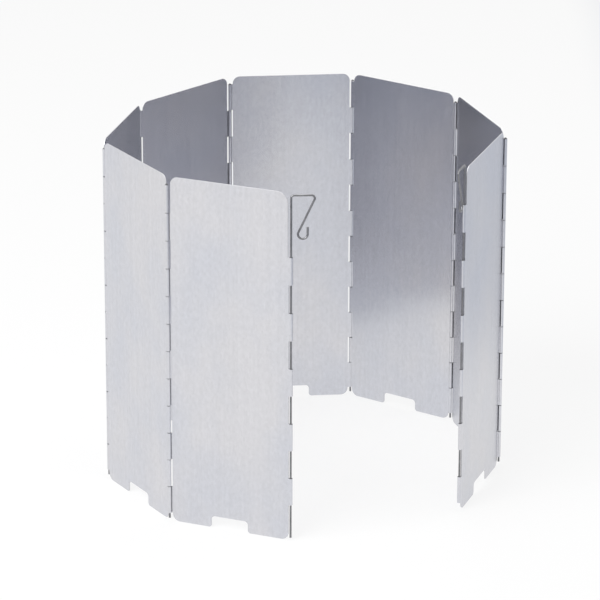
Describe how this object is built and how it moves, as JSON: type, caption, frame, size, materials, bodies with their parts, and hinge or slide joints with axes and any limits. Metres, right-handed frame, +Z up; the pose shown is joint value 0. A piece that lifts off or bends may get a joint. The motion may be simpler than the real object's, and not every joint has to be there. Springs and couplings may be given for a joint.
{
  "type": "folding stove windscreen",
  "caption": "Ring of hinged sheet aluminium plates that shields a camping stove from wind, folds flat, and is pinned to the ground by a hooked wire stake in each free edge.",
  "frame": {"origin": "on the ground, at the middle of the standing ring's box", "axes": "+Z up along the plates and hinges; -Y out through the way in between the two stakes; +X to the right for someone looking in through it"},
  "size_m": [0.2604, 0.2598, 0.2432],
  "materials": {
    "aluminium": "satin, finely brushed",
    "steel_wire": "drawn wire, dull"
  },
  "bodies": {
    "panel_5": {"panel_5": "aluminium"},
    "panel_4": {"panel_4": "aluminium", "hinge_pin_4": "steel_wire"},
    "panel_3": {"panel_3": "aluminium", "hinge_pin_3": "steel_wire"},
    "panel_2": {"panel_2": "aluminium", "hinge_pin_2": "steel_wire"},
    "panel_1": {"panel_1": "aluminium", "hinge_pin_1": "steel_wire"},
    "panel_6": {"panel_6": "aluminium", "hinge_pin_5": "steel_wire"},
    "panel_7": {"panel_7": "aluminium", "hinge_pin_6": "steel_wire"},
    "panel_8": {"panel_8": "aluminium", "hinge_pin_7": "steel_wire"},
    "stake_left": {"stake_left": "steel_wire"},
    "hook_left": {"hook_left": "steel_wire"},
    "stake_right": {"stake_right": "steel_wire"},
    "hook_right": {"hook_right": "steel_wire"}
  },
  "joints": [
    {"name": "hinge_4", "type": "hinge", "parent": "panel_5", "child": "panel_4", "pos_m": [0.0029, 0.12862, 0.12], "axis": [0, 0, 1], "range_deg": [0, 139]},
    {"name": "hinge_3", "type": "hinge", "parent": "panel_4", "child": "panel_3", "pos_m": [-0.07706, 0.09691, 0.12], "axis": [0, 0, -1], "range_deg": [0, 209]},
    {"name": "hinge_2", "type": "hinge", "parent": "panel_3", "child": "panel_2", "pos_m": [-0.12894, 0.0283, 0.12], "axis": [0, 0, 1], "range_deg": [0, 134]},
    {"name": "hinge_1", "type": "hinge", "parent": "panel_2", "child": "panel_1", "pos_m": [-0.11901, -0.05714, 0.12], "axis": [0, 0, -1], "range_deg": [-60, 216]},
    {"name": "hinge_5", "type": "hinge", "parent": "panel_5", "child": "panel_6", "pos_m": [0.08511, 0.10333, 0.12], "axis": [0, 0, 1], "range_deg": [0, 220]},
    {"name": "hinge_6", "type": "hinge", "parent": "panel_6", "child": "panel_7", "pos_m": [0.12894, 0.02932, 0.12], "axis": [0, 0, -1], "range_deg": [0, 144]},
    {"name": "hinge_7", "type": "hinge", "parent": "panel_7", "child": "panel_8", "pos_m": [0.12429, -0.05657, 0.12], "axis": [0, 0, 1], "range_deg": [0, 219]},
    {"name": "stake_left_slide", "type": "slide", "parent": "panel_1", "child": "stake_left", "axis": [0, 0, 1], "range_m": [-0.04, 0]},
    {"name": "stake_right_slide", "type": "slide", "parent": "panel_8", "child": "stake_right", "axis": [0, 0, 1], "range_m": [-0.025, 0]},
    {"name": "hook_left_turn", "type": "hinge", "parent": "stake_left", "child": "hook_left", "pos_m": [-0.05829, -0.11807, 0.236], "axis": [0, 0, 1], "range_deg": [-155, 133]},
    {"name": "hook_right_turn", "type": "hinge", "parent": "stake_right", "child": "hook_right", "pos_m": [0.06415, -0.11807, 0.24], "axis": [0, 0, -1], "range_deg": [-128, 160]}
  ],
  "couplings": [
    {"joint": "hinge_2", "follows": "hinge_3", "ratio": 0.64115},
    {"joint": "hinge_4", "follows": "hinge_5", "ratio": 0.63182},
    {"joint": "hinge_7", "follows": "hinge_6", "ratio": 1.5208}
  ]
}
